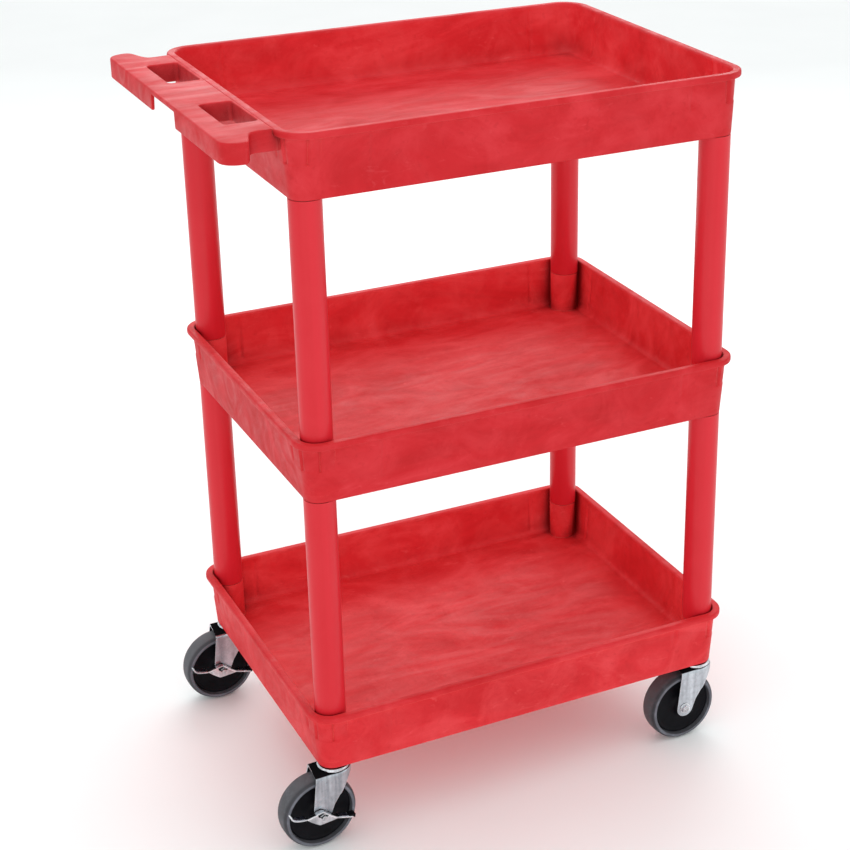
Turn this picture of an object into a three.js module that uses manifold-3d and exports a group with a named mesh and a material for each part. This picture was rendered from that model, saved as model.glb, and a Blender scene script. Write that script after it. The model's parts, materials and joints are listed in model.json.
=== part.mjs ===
// Rolling utility cart: three moulded tubs on eight tubular posts, with a push handle moulded
// into one end of the top tub and four stem casters, the two under the handle with side brakes.
//
// Millimetres, +Z up. The origin is on the floor under the middle of the whole cart, handle
// included. The handle is at the -X end, the long sides of the tubs face -Y and +Y.

import * as THREE from 'three';
import { mergeVertices } from 'three/addons/utils/BufferGeometryUtils.js';
import Module from 'manifold-3d';

const wasm = await Module();
wasm.setup();

// ---------------------------------------------------------------- driving dimensions

const TUB = {
  length: 609.6,
  width: 457.2,
  height: 82,
  depth: 70,
  topRimCorner: 38,
  rimCorner: 32,
  footCorner: 20,
  lipOverhang: 6.5,
  lipHeight: 8,
  wall: 4.5,
  draft: 5.5,
  floor: 4,
};
const BOTTOM_RIM_Z = 198.4;
const RIM_PITCH = 380;
const GAP = 0.3;
const CUT = 1;

const POST = {
  radius: 19.8,
  bore: 17.2,
  seatBelowRim: 14,
  spigotAboveRim: 12,
  spigotBelowFoot: 28,
  spigotPlay: 0.2,
  spigotBore: 13,
};

const HANDLE = {
  reach: 70.4,
  deck: 5,
  skirt: 26,
  skirtWall: 4,
  root: 12,
  waistHalf: 191,
  lobeHalf: 226.5,
  lobeCorner: 20,
  waistX: 22,
  lobeX: 47,
  bend: 14,
  window: { inner: 1.5, outer: 41.5, near: 55, far: 149, corner: 5, wall: 3.5 },
  grip: { from: -55, to: 36 },
};

const WHEEL = {
  radius: 50.8,
  halfWidth: 15.2,
  shoulder: 4.2,
  shoulderWidth: 4,
  crownWidth: 9,
  coreRadius: 42.8,
  coreHalfWidth: 9.6,
  bossRadius: 12.5,
  bossHalf: 16.6,
  sides: 24,
};
const FORK = {
  half: 19.2,
  nose: 23.6,
  noseDepth: 9,
  sheet: 2,
  crownZ: 109.7,
  back: 32,
  axleEnd: 12.5,
  pinHole: 5.6,
};
const TRAIL = 25.5;
const AXLE_RADIUS = 3.4;
const SHOULDER_Z = BOTTOM_RIM_Z - TUB.height + 2;
const STEM = { radius: 5.5, top: SHOULDER_Z + 34, sleeve: 7.5, shoulder: 12, flange: 3.2, foot: 8 };
const BOLT = { head: 6.4, headHeight: 4.2, nut: 6.4, nutHeight: 4.4, coveredNut: 5.6, spare: 1 };
const LEVER = {
  tilt: 15.5,
  inner: 20,
  plate: 24.4,
  outer: 26.6,
  pedal: 16.9,
  sheet: 2.2,
  cam: 8,
  nutRoom: 6.1,
};

const CORNERS = [
  { name: 'handle_left', x: -1, y: 1, turn: 181.5, brake: true },
  { name: 'handle_right', x: -1, y: -1, turn: 182, brake: true },
  { name: 'front_left', x: 1, y: 1, turn: 184, brake: false },
  { name: 'front_right', x: 1, y: -1, turn: 181, brake: false },
];

// ---------------------------------------------------------------- derived places

const HALF_X = TUB.length / 2;
const HALF_Y = TUB.width / 2;
const TUB_X = HANDLE.reach / 2;
const WALL_X = HALF_X - TUB.lipOverhang;
const WALL_Y = HALF_Y - TUB.lipOverhang;
const FOOT_X = WALL_X - TUB.draft;
const FOOT_Y = WALL_Y - TUB.draft;
const POST_X = FOOT_X - TUB.footCorner;
const POST_Y = FOOT_Y - TUB.footCorner;
const RIM_Z = [0, 1, 2].map((i) => BOTTOM_RIM_Z + i * RIM_PITCH);
const SEAT_RADIUS = TUB.footCorner - GAP;
const SPIGOT_RADIUS = POST.bore - GAP - POST.spigotPlay;
const POCKET_RADIUS = POST.radius + GAP + POST.spigotPlay;
const PLUG_END = -TUB.height - POST.spigotBelowFoot;
const CAM_SIDE = FORK.half + GAP;
const CROWN_UNDERSIDE = FORK.crownZ - FORK.sheet - 0.5;

const red = () => new THREE.MeshStandardMaterial({ color: 0xd5333a, roughness: 0.5, metalness: 0 });
const postRed = () => new THREE.MeshStandardMaterial({ color: 0xdb2f3c, roughness: 0.35, metalness: 0 });
const zinc = () => new THREE.MeshStandardMaterial({ color: 0xc2c6ca, roughness: 0.25, metalness: 0.9 });
const steel = () => new THREE.MeshStandardMaterial({ color: 0x9a9da1, roughness: 0.35, metalness: 0.9 });
const core = () => new THREE.MeshStandardMaterial({ color: 0x17181b, roughness: 0.45, metalness: 0 });
const tread = () => new THREE.MeshStandardMaterial({ color: 0x5c5c63, roughness: 0.7, metalness: 0 });

// ---------------------------------------------------------------- solids

function solid(geometry) {
  geometry.deleteAttribute('normal');
  geometry.deleteAttribute('uv');
  const merged = mergeVertices(geometry, 1e-4);
  return new wasm.Manifold(new wasm.Mesh({
    numProp: 3,
    vertProperties: Float32Array.from(merged.attributes.position.array),
    triVerts: Uint32Array.from(merged.index.array),
  }));
}

function geometryOf(manifold) {
  const mesh = manifold.getMesh();
  const geometry = new THREE.BufferGeometry();
  geometry.setAttribute('position', new THREE.BufferAttribute(mesh.vertProperties, 3));
  geometry.setIndex(new THREE.BufferAttribute(mesh.triVerts, 1));
  geometry.computeVertexNormals();
  return geometry;
}

function roundedRect(x, y, r) {
  const shape = new THREE.Shape();
  shape.moveTo(x, -y + r);
  shape.absarc(x - r, y - r, r, 0, Math.PI / 2);
  shape.absarc(-x + r, y - r, r, Math.PI / 2, Math.PI);
  shape.absarc(-x + r, -y + r, r, Math.PI, 1.5 * Math.PI);
  shape.absarc(x - r, -y + r, r, 1.5 * Math.PI, 2 * Math.PI);
  return shape;
}

// A flat shape raised from z0 to z1.
function prism(shape, z0, z1, curveSegments = 3) {
  const geometry = new THREE.ExtrudeGeometry(shape, { depth: z1 - z0, bevelEnabled: false, curveSegments });
  return geometry.translate(0, 0, z0);
}

// A side profile in X and Z, spread from y0 to y1.
function slab(shape, y0, y1, curveSegments = 4) {
  return prism(shape, -y1, -y0, curveSegments).rotateX(Math.PI / 2);
}

// A rounded block that shrinks from its top outline to its foot outline.
function draftedBlock(top, foot, z0, z1) {
  const geometry = prism(roundedRect(top.x, top.y, top.r), z0, z1);
  const place = geometry.attributes.position;
  const squeeze = (value, half, footHalf) => {
    const flat = half - top.r;
    const footFlat = footHalf - foot.r;
    const size = Math.abs(value);
    const moved = size > flat ? footFlat + (size - flat) * foot.r / top.r : size * footFlat / flat;
    return Math.sign(value) * moved;
  };
  for (let i = 0; i < place.count; i += 1) {
    if (place.getZ(i) < (z0 + z1) / 2) {
      place.setX(i, squeeze(place.getX(i), top.x, foot.x));
      place.setY(i, squeeze(place.getY(i), top.y, foot.y));
    }
  }
  return geometry;
}

function box(x0, x1, y0, y1, z0, z1) {
  const geometry = new THREE.BoxGeometry(x1 - x0, y1 - y0, z1 - z0);
  return geometry.translate((x0 + x1) / 2, (y0 + y1) / 2, (z0 + z1) / 2);
}

// An upright round bar.
function column(x, y, r, z0, z1, sides = 16) {
  const geometry = new THREE.CylinderGeometry(r, r, z1 - z0, sides).rotateX(Math.PI / 2);
  return geometry.translate(x, y, (z0 + z1) / 2);
}

// A round bar along Y through (x, z).
function rod(x, z, r, y0, y1, sides = 16) {
  return new THREE.CylinderGeometry(r, r, y1 - y0, sides).translate(x, (y0 + y1) / 2, z);
}

// A body of revolution about Y, from a closed list of [radius, place along the axis].
function turned(profile, sides) {
  const points = [...profile, profile[0]].map(([r, along]) => new THREE.Vector2(r, along));
  return new THREE.LatheGeometry(points, sides);
}

// A body of revolution about Z, from a closed list of [radius, height].
function upright(profile, sides) {
  return turned(profile, sides).rotateX(Math.PI / 2);
}

const mirrored = (half) => half.map(([r, along]) => [r, -along]).reverse();
const joined = (first, ...others) => others.reduce((sum, g) => sum.add(solid(g)), solid(first));
const cut = (body, ...tools) => tools.reduce((rest, g) => rest.subtract(solid(g)), body);

const BOTH_SIDES = [-1, 1];
const everyCorner = (make) => CORNERS.map((c) => make(c.x * POST_X, c.y * POST_Y));

// ---------------------------------------------------------------- tubs

// A tub in its own frame: z 0 is the top of its rim.
function tubShell(rimCorner) {
  const wallCorner = rimCorner - TUB.lipOverhang;
  const outside = { x: WALL_X, y: WALL_Y, r: wallCorner };
  const outsideFoot = { x: FOOT_X, y: FOOT_Y, r: TUB.footCorner };
  const inward = ({ x, y, r }) => ({ x: x - TUB.wall, y: y - TUB.wall, r: r - TUB.wall });
  const inside = inward(outside);
  const insideFoot = inward(outsideFoot);
  const shell = joined(
    draftedBlock(outside, outsideFoot, -TUB.height, 0),
    prism(roundedRect(HALF_X, HALF_Y, rimCorner), -TUB.lipHeight, 0),
  );
  const hollow = cut(
    shell,
    draftedBlock(inside, insideFoot, -TUB.depth, CUT),
    prism(roundedRect(insideFoot.x, insideFoot.y, insideFoot.r), -TUB.height - CUT, -TUB.depth - TUB.floor),
  );
  const pads = everyCorner((x, y) => column(x, y, SEAT_RADIUS, -TUB.height, -TUB.depth - CUT));
  return pads.reduce((sum, pad) => sum.add(solid(pad)), hollow);
}

// Corner seats that carry a post standing in the tub: a column, a clear pocket and a spigot.
function withSeats(tub) {
  const seat = -POST.seatBelowRim;
  const columns = everyCorner((x, y) => column(x, y, SEAT_RADIUS, -TUB.depth - CUT, seat));
  const pockets = everyCorner((x, y) => column(x, y, POCKET_RADIUS, seat, CUT, 20));
  const spigots = everyCorner((x, y) => column(x, y, SPIGOT_RADIUS, seat - CUT, POST.spigotAboveRim));
  const raised = columns.reduce((sum, c) => sum.add(solid(c)), tub);
  const cleared = cut(raised, ...pockets);
  return spigots.reduce((sum, s) => sum.add(solid(s)), cleared);
}

// Spigots under the feet that plug into the posts below.
function withPlugs(tub) {
  const end = -TUB.height - POST.spigotBelowFoot;
  const plugs = everyCorner((x, y) => column(x, y, SPIGOT_RADIUS, end, -TUB.height + CUT));
  return plugs.reduce((sum, p) => sum.add(solid(p)), tub);
}

function boredCorners(tub, radius, z0, z1) {
  return cut(tub, ...everyCorner((x, y) => column(x, y, radius, z0, z1)));
}

// Half of the handle's plan from the tub to the middle of its outer edge, drawn in by inset.
function handlePlan(inset) {
  const root = -HALF_X + HANDLE.root;
  const { bend } = HANDLE;
  const waist = HANDLE.waistHalf - inset;
  const lobe = HANDLE.lobeHalf - inset;
  const outer = -HALF_X - HANDLE.reach + inset;
  const waistX = -HALF_X - HANDLE.waistX - inset * 0.5;
  const lobeX = -HALF_X - HANDLE.lobeX;
  const corner = HANDLE.lobeCorner - inset * 0.5;
  const shape = new THREE.Shape();
  shape.moveTo(root, -waist);
  shape.lineTo(root, waist);
  shape.lineTo(waistX, waist);
  shape.bezierCurveTo(waistX - bend, waist, lobeX + bend, lobe, lobeX, lobe);
  shape.bezierCurveTo(outer + 4, lobe, outer, lobe - 6, outer, lobe - corner);
  shape.lineTo(outer, -lobe + corner);
  shape.bezierCurveTo(outer, -lobe + 6, outer + 4, -lobe, lobeX, -lobe);
  shape.bezierCurveTo(lobeX + bend, -lobe, waistX - bend, -waist, waistX, -waist);
  return shape;
}

// One window in the handle deck, on the side given by the sign, grown by margin all round.
function windowPlan(side, margin) {
  const { inner, outer, near, far, corner } = HANDLE.window;
  const halfX = (outer - inner) / 2 + margin;
  const halfY = (far - near) / 2 + margin;
  const x = -HALF_X - (inner + outer) / 2;
  const y = side * (near + far) / 2;
  const plan = roundedRect(halfX, halfY, corner + margin);
  return { plan, x, y };
}

function windowPrism(side, margin, z0, z1) {
  const { plan, x, y } = windowPlan(side, margin);
  return prism(plan, z0, z1, 3).translate(x, y, 0);
}

function handleSolid() {
  const below = -HANDLE.skirt;
  const outer = -HALF_X - HANDLE.reach;
  const skirtRing = cut(
    solid(prism(handlePlan(0), below, -CUT)),
    prism(handlePlan(HANDLE.skirtWall), below - CUT, 0),
  );
  const shortened = cut(
    skirtRing,
    box(outer - CUT, outer + 20, HANDLE.grip.from, HANDLE.grip.to, below - CUT, -HANDLE.deck),
  );
  const wells = BOTH_SIDES.map((side) => windowPrism(side, HANDLE.window.wall, below, -CUT));
  const deck = solid(prism(handlePlan(0), -HANDLE.deck, 0));
  const body = wells.reduce((sum, w) => sum.add(solid(w)), deck.add(shortened));
  const inside = box(-WALL_X + 0.5, HALF_X, -HALF_Y - CUT, HALF_Y + CUT, below - CUT, CUT);
  return cut(body, inside);
}

function topTub() {
  const tub = withPlugs(tubShell(TUB.topRimCorner)).add(handleSolid());
  const windows = BOTH_SIDES.map((side) => windowPrism(side, 0, -HANDLE.skirt - CUT, CUT));
  return boredCorners(cut(tub, ...windows), POST.spigotBore, PLUG_END - CUT, -TUB.depth - TUB.floor);
}

function middleTub() {
  const tub = withPlugs(withSeats(tubShell(TUB.rimCorner)));
  return boredCorners(tub, POST.spigotBore, PLUG_END - CUT, POST.spigotAboveRim - TUB.floor);
}

function bottomTub() {
  const tub = withSeats(tubShell(TUB.rimCorner));
  const foot = -TUB.height - CUT;
  const socketTop = STEM.top + 4 - BOTTOM_RIM_Z;
  const recessed = boredCorners(tub, STEM.shoulder + 6, foot, SHOULDER_Z - BOTTOM_RIM_Z);
  const drilled = boredCorners(recessed, STEM.sleeve + GAP, foot, socketTop);
  return boredCorners(drilled, POST.spigotBore, socketTop + TUB.floor, POST.spigotAboveRim + CUT);
}

function postGeometry(lowerRim, upperRim) {
  const z0 = lowerRim - POST.seatBelowRim + GAP;
  const z1 = upperRim - TUB.height - GAP;
  const tube = cut(
    solid(column(0, 0, POST.radius, z0, z1, 20)),
    column(0, 0, POST.bore, z0 - CUT, z1 + CUT, 20),
  );
  return geometryOf(tube);
}

// ---------------------------------------------------------------- casters
//
// A caster in its own frame: z 0 is the floor, the stem is on the z axis, +X is the way the
// wheel trails and +Y is the outer side, where the brake lever is.

// The fork's side outline: upright trailing edge, round axle end, slanting leading edge.
function forkSide() {
  const shape = new THREE.Shape();
  shape.moveTo(FORK.back, FORK.crownZ);
  shape.lineTo(-FORK.nose, FORK.crownZ);
  shape.lineTo(-FORK.nose, FORK.crownZ - FORK.noseDepth);
  shape.quadraticCurveTo(-13, 88, -2, 76);
  shape.lineTo(TRAIL - 11.5, 55);
  shape.absarc(TRAIL, WHEEL.radius, FORK.axleEnd, Math.PI * 0.93, Math.PI * 2.09);
  shape.lineTo(FORK.back, FORK.crownZ);
  return shape;
}

// The crown's plan: a rounded nose in front of the stem, open behind.
function crownPlan(inset, back) {
  const y = FORK.half - inset;
  const shape = new THREE.Shape();
  shape.moveTo(back, -y);
  shape.lineTo(back, y);
  shape.lineTo(0, y);
  shape.absellipse(0, 0, FORK.nose - inset, y, Math.PI / 2, 1.5 * Math.PI, false, 0);
  return shape;
}

function forkGeometry() {
  const open = FORK.back + FORK.axleEnd;
  const low = WHEEL.radius - FORK.axleEnd - CUT;
  const across = FORK.half + CUT;
  const besideWheel = WHEEL.halfWidth + CUT;
  const shell = cut(
    solid(prism(crownPlan(0, open), low, FORK.crownZ, 5)),
    prism(crownPlan(FORK.sheet, open + CUT), low - CUT, CROWN_UNDERSIDE, 5),
  );
  const body = shell.intersect(solid(slab(forkSide(), -across, across, 6)));
  const fork = cut(
    body,
    column(0, 0, FORK.pinHole, CROWN_UNDERSIDE - CUT, FORK.crownZ + CUT, 16),
    rod(TRAIL, WHEEL.radius, AXLE_RADIUS + GAP, -across, across),
    rod(TRAIL, WHEEL.radius, WHEEL.radius + 1.5, -besideWheel, besideWheel, 32),
  );
  return geometryOf(fork);
}

function kingpinGeometry() {
  const under = CROWN_UNDERSIDE - GAP;
  const shoulder = SHOULDER_Z - GAP;
  const neck = FORK.pinHole - 2 * GAP;
  const profile = [
    [0, under - 2.6],
    [STEM.foot, under - 2.6],
    [STEM.foot, under],
    [neck, under],
    [neck, shoulder - STEM.flange],
    [STEM.shoulder, shoulder - STEM.flange],
    [STEM.shoulder, shoulder],
    [STEM.radius, shoulder],
    [STEM.radius, STEM.top - 2],
    [STEM.radius - 1.2, STEM.top],
    [0, STEM.top],
  ];
  return upright(profile, 16);
}

// The pressed cup over the balls, open below.
function cupGeometry() {
  const z = FORK.crownZ + GAP;
  const bore = STEM.radius - 0.1;
  const profile = [
    [bore, z + 3],
    [18.6, z + 3],
    [18.6, z],
    [21, z],
    [21, z + 3.4],
    [18, z + 4.8],
    [bore, z + 4.8],
  ];
  return upright(profile, 20);
}

// The caged ring of balls between the fork's crown and the cup.
function ballRingGeometry() {
  const z = FORK.crownZ + GAP;
  const profile = [[13, z + 1.3], [14.2, z], [16.8, z], [18, z + 1.3], [16.8, z + 2.6], [14.2, z + 2.6]];
  return upright(profile, 16);
}

function sleeveGeometry() {
  return geometryOf(cut(
    solid(column(0, 0, STEM.sleeve, SHOULDER_Z + GAP, STEM.top + 3, 20)),
    column(0, 0, STEM.radius + GAP, SHOULDER_Z - CUT, STEM.top + 4, 16),
  ));
}

function tyreGeometry() {
  const { radius, halfWidth, shoulder, shoulderWidth, crownWidth, coreRadius } = WHEEL;
  const half = [
    [radius, halfWidth - crownWidth],
    [radius - shoulder / 4, halfWidth - shoulderWidth],
    [radius - shoulder, halfWidth],
    [coreRadius + GAP, halfWidth],
  ];
  return turned([...mirrored(half), ...half], WHEEL.sides).translate(TRAIL, 0, radius);
}

function coreGeometry() {
  const { radius, coreRadius, coreHalfWidth, bossRadius, bossHalf } = WHEEL;
  const bore = AXLE_RADIUS + 2;
  const half = [
    [coreRadius, coreHalfWidth],
    [bossRadius + 1.5, coreHalfWidth],
    [bossRadius, bossHalf],
    [bore, bossHalf],
  ];
  return turned([...mirrored(half), ...half], WHEEL.sides).translate(TRAIL, 0, radius);
}

function spacerGeometry() {
  const half = FORK.half - FORK.sheet - GAP;
  return geometryOf(cut(
    solid(rod(TRAIL, WHEEL.radius, AXLE_RADIUS + 1.5, -half, half)),
    rod(TRAIL, WHEEL.radius, AXLE_RADIUS + GAP, -half - CUT, half + CUT),
  ));
}

function boltGeometry(end) {
  return geometryOf(joined(
    rod(TRAIL, WHEEL.radius, AXLE_RADIUS, -CAM_SIDE - CUT, end),
    rod(TRAIL, WHEEL.radius, BOLT.head, -CAM_SIDE - BOLT.headHeight, -CAM_SIDE, 6),
  ));
}

function nutGeometry(inner, outer, radius) {
  return geometryOf(cut(
    solid(rod(TRAIL, WHEEL.radius, radius, inner, outer, 6)),
    rod(TRAIL, WHEEL.radius, AXLE_RADIUS + GAP, inner - CUT, outer + CUT),
  ));
}

// The brake lever seen from the side, level, about the axle: two wings and a diamond between.
function leverSide() {
  const shape = new THREE.Shape();
  shape.moveTo(-43, -1.6);
  shape.lineTo(-20, -1);
  shape.lineTo(4.5, -9.7);
  shape.lineTo(26, -2.6);
  shape.lineTo(37, -3);
  shape.quadraticCurveTo(45, -2.6, 50, 4.6);
  shape.lineTo(48.2, 5.8);
  shape.quadraticCurveTo(44, -0.2, 36.5, -0.8);
  shape.lineTo(26, -0.4);
  shape.lineTo(4, 9.8);
  shape.lineTo(-17, 1.2);
  shape.lineTo(-43, 0.6);
  return shape;
}

function leverInside() {
  const shape = new THREE.Shape();
  shape.moveTo(-15, -0.6);
  shape.lineTo(4.5, -7.4);
  shape.lineTo(22, -1.4);
  shape.lineTo(4, 7.4);
  return shape;
}

// A pedal surface that reaches in over the wheel beyond the fork's leg.
function pedal(x0, x1, z) {
  return box(x0, x1, LEVER.pedal, LEVER.inner + CUT, z, z + LEVER.sheet);
}

function leverGeometry() {
  const body = joined(
    slab(leverSide(), LEVER.inner, LEVER.outer, 4),
    pedal(25, 37, -2.8),
    pedal(-43, -28, -1.5),
  );
  const lever = cut(
    body,
    slab(leverInside(), LEVER.inner - CUT, LEVER.plate),
    rod(0, 0, LEVER.nutRoom, LEVER.inner - CUT, LEVER.plate),
    rod(0, 0, AXLE_RADIUS + GAP, LEVER.inner - CUT, LEVER.outer + CUT),
  );
  return placedLever(geometryOf(lever));
}

function placedLever(geometry) {
  return geometry.rotateY(THREE.MathUtils.degToRad(-LEVER.tilt)).translate(TRAIL, 0, WHEEL.radius);
}

// The cam washer that the lever turns against the fork's leg.
function camGeometry() {
  const washer = cut(
    solid(rod(0, 0, LEVER.cam, CAM_SIDE, LEVER.inner - GAP)),
    rod(0, 0, AXLE_RADIUS + GAP, CAM_SIDE - CUT, LEVER.inner + CUT),
  );
  return placedLever(geometryOf(washer));
}

// ---------------------------------------------------------------- assembly

const cart = new THREE.Group();

function place(parent, name, geometry, material) {
  const mesh = new THREE.Mesh(geometry, material);
  mesh.name = name;
  parent.add(mesh);
  return mesh;
}

const tubs = new THREE.Group();
tubs.position.set(TUB_X, 0, 0);
cart.add(tubs);
place(tubs, 'top_tub', geometryOf(topTub()), red()).position.z = RIM_Z[2];
place(tubs, 'middle_tub', geometryOf(middleTub()), red()).position.z = RIM_Z[1];
place(tubs, 'bottom_tub', geometryOf(bottomTub()), red()).position.z = RIM_Z[0];

for (const corner of CORNERS) {
  const at = [corner.x * POST_X, corner.y * POST_Y, 0];
  place(tubs, `lower_post_${corner.name}`, postGeometry(RIM_Z[0], RIM_Z[1]), postRed()).position.set(...at);
  place(tubs, `upper_post_${corner.name}`, postGeometry(RIM_Z[1], RIM_Z[2]), postRed()).position.set(...at);
  addCaster(corner, at);
}

function addCaster(corner, at) {
  const caster = new THREE.Group();
  caster.position.set(...at);
  caster.rotation.z = THREE.MathUtils.degToRad(corner.turn);
  tubs.add(caster);
  const add = (part, geometry, material) => place(caster, `${part}_${corner.name}`, geometry, material);
  add('stem_socket', sleeveGeometry(), steel());
  add('kingpin', kingpinGeometry(), zinc());
  add('swivel_cup', cupGeometry(), zinc());
  add('ball_ring', ballRingGeometry(), steel());
  add('fork', forkGeometry(), zinc());
  add('axle_spacer', spacerGeometry(), steel());
  add('wheel_core', coreGeometry(), core());
  add('tyre', tyreGeometry(), tread());
  if (corner.brake) {
    add('axle_bolt', boltGeometry(LEVER.outer + BOLT.spare), steel());
    add('axle_nut', nutGeometry(LEVER.inner + GAP, LEVER.plate - GAP, BOLT.coveredNut), steel());
    add('brake_cam', camGeometry(), steel());
    add('brake_lever', leverGeometry(), zinc());
  } else {
    const nutEnd = CAM_SIDE + BOLT.nutHeight;
    add('axle_bolt', boltGeometry(nutEnd + BOLT.spare), steel());
    add('axle_nut', nutGeometry(CAM_SIDE, nutEnd, BOLT.nut), steel());
  }
}

export default cart;
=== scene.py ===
"""The looks of a red utility cart: three moulded tubs, tube posts, a push handle and four casters."""

import json
import math

import bmesh
import bpy
from mathutils import Matrix, Vector


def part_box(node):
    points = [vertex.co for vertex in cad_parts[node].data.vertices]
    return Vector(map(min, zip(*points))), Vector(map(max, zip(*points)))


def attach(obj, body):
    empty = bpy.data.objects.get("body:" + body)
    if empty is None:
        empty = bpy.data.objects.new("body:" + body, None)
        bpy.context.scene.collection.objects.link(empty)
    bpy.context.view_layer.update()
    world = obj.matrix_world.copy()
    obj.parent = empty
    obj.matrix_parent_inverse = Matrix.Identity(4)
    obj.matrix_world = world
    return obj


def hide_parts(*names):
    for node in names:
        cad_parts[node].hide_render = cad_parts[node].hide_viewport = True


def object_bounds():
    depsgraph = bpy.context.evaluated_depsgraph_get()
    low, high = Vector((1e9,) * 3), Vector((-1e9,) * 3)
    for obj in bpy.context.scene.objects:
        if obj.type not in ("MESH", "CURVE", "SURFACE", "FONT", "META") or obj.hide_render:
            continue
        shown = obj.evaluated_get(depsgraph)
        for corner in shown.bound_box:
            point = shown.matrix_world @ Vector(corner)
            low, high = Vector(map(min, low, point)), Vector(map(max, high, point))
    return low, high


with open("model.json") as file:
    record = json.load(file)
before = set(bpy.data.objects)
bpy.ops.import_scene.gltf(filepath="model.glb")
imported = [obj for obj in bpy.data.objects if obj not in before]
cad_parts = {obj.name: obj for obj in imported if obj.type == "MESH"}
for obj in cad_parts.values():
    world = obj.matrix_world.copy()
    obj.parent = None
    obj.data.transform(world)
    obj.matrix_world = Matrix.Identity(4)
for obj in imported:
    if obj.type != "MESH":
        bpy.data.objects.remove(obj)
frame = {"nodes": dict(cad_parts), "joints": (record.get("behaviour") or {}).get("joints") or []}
CAD_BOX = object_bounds()
MM = 0.001

CORNERS = ("handle_left", "handle_right", "front_left", "front_right")


# ---------------------------------------------------------------- places read from the frame, in mm

def cad_box(node):
    low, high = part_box(node)
    return low / MM, high / MM


def middle(node):
    low, high = cad_box(node)
    return (low + high) / 2


POST_SEAT = 14.0
POST_GAP = 0.3
TUB_LOW, TUB_HIGH = cad_box("middle_tub")
TUB_X = middle("middle_tub").x
HALF_X = (TUB_HIGH.x - TUB_LOW.x) / 2
HALF_Y = (TUB_HIGH.y - TUB_LOW.y) / 2
RIM = {
    "top_tub": cad_box("top_tub")[1].z,
    "middle_tub": cad_box("upper_post_front_left")[0].z + POST_SEAT - POST_GAP,
    "bottom_tub": cad_box("lower_post_front_left")[0].z + POST_SEAT - POST_GAP,
}
POST_X = abs(middle("lower_post_front_left").x - TUB_X)
POST_Y = abs(middle("lower_post_front_left").y)
HANDLE_END = cad_box("top_tub")[0].x - TUB_X
FLOOR_Z = CAD_BOX[0].z


# ---------------------------------------------------------------- pieces

def finish_piece(name, bm, material, body, nodes, smooth=35.0):
    """A mesh piece from a bmesh in mm: smooth but for edges sharper than the angle, riding on a CAD body."""
    bmesh.ops.recalc_face_normals(bm, faces=bm.faces)
    mesh = bpy.data.meshes.new(name)
    bm.to_mesh(mesh)
    bm.free()
    mesh.transform(Matrix.Scale(MM, 4))
    mesh.shade_smooth()
    mesh.set_sharp_from_angle(angle=math.radians(smooth))
    mesh.materials.append(material)
    piece = bpy.data.objects.new(name, mesh)
    bpy.context.scene.collection.objects.link(piece)
    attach(piece, body)
    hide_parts(*nodes)
    return piece


def skin(bm, rings, closed=True, loop=False):
    """Quads between rings of points; loop joins the last ring to the first."""
    rows = [[bm.verts.new(p) for p in ring] for ring in rings]
    pairs = list(zip(rows, rows[1:])) + ([(rows[-1], rows[0])] if loop else [])
    for a, b in pairs:
        count = len(a)
        for i in range(count if closed else count - 1):
            j = (i + 1) % count
            bm.faces.new((a[i], a[j], b[j], b[i]))
    return rows


def lathe(bm, profile, sides=48, place=Matrix.Identity(4)):
    """A body of revolution about the Z of place, from (radius, z) points, closed on the axis or as a ring."""
    rings = []
    for r, z in profile:
        turn = [2 * math.pi * k / sides for k in range(sides)]
        rings.append([place @ Vector((r * math.cos(t), r * math.sin(t), z)) for t in turn])
    loop = profile[0][0] > 0 and profile[-1][0] > 0
    rows = skin(bm, rings, loop=loop)
    if not loop:
        bmesh.ops.remove_doubles(bm, verts=rows[0] + rows[-1], dist=1e-4)


def arc(cx, cy, r, a0, a1, steps):
    """Points of an arc, angles in degrees."""
    turn = [math.radians(a0 + (a1 - a0) * k / steps) for k in range(steps + 1)]
    return [(cx + r * math.cos(t), cy + r * math.sin(t)) for t in turn]


def ease(x):
    x = min(max(x, 0.0), 1.0)
    return x * x * (3 - 2 * x)


# ---------------------------------------------------------------- materials

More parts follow.
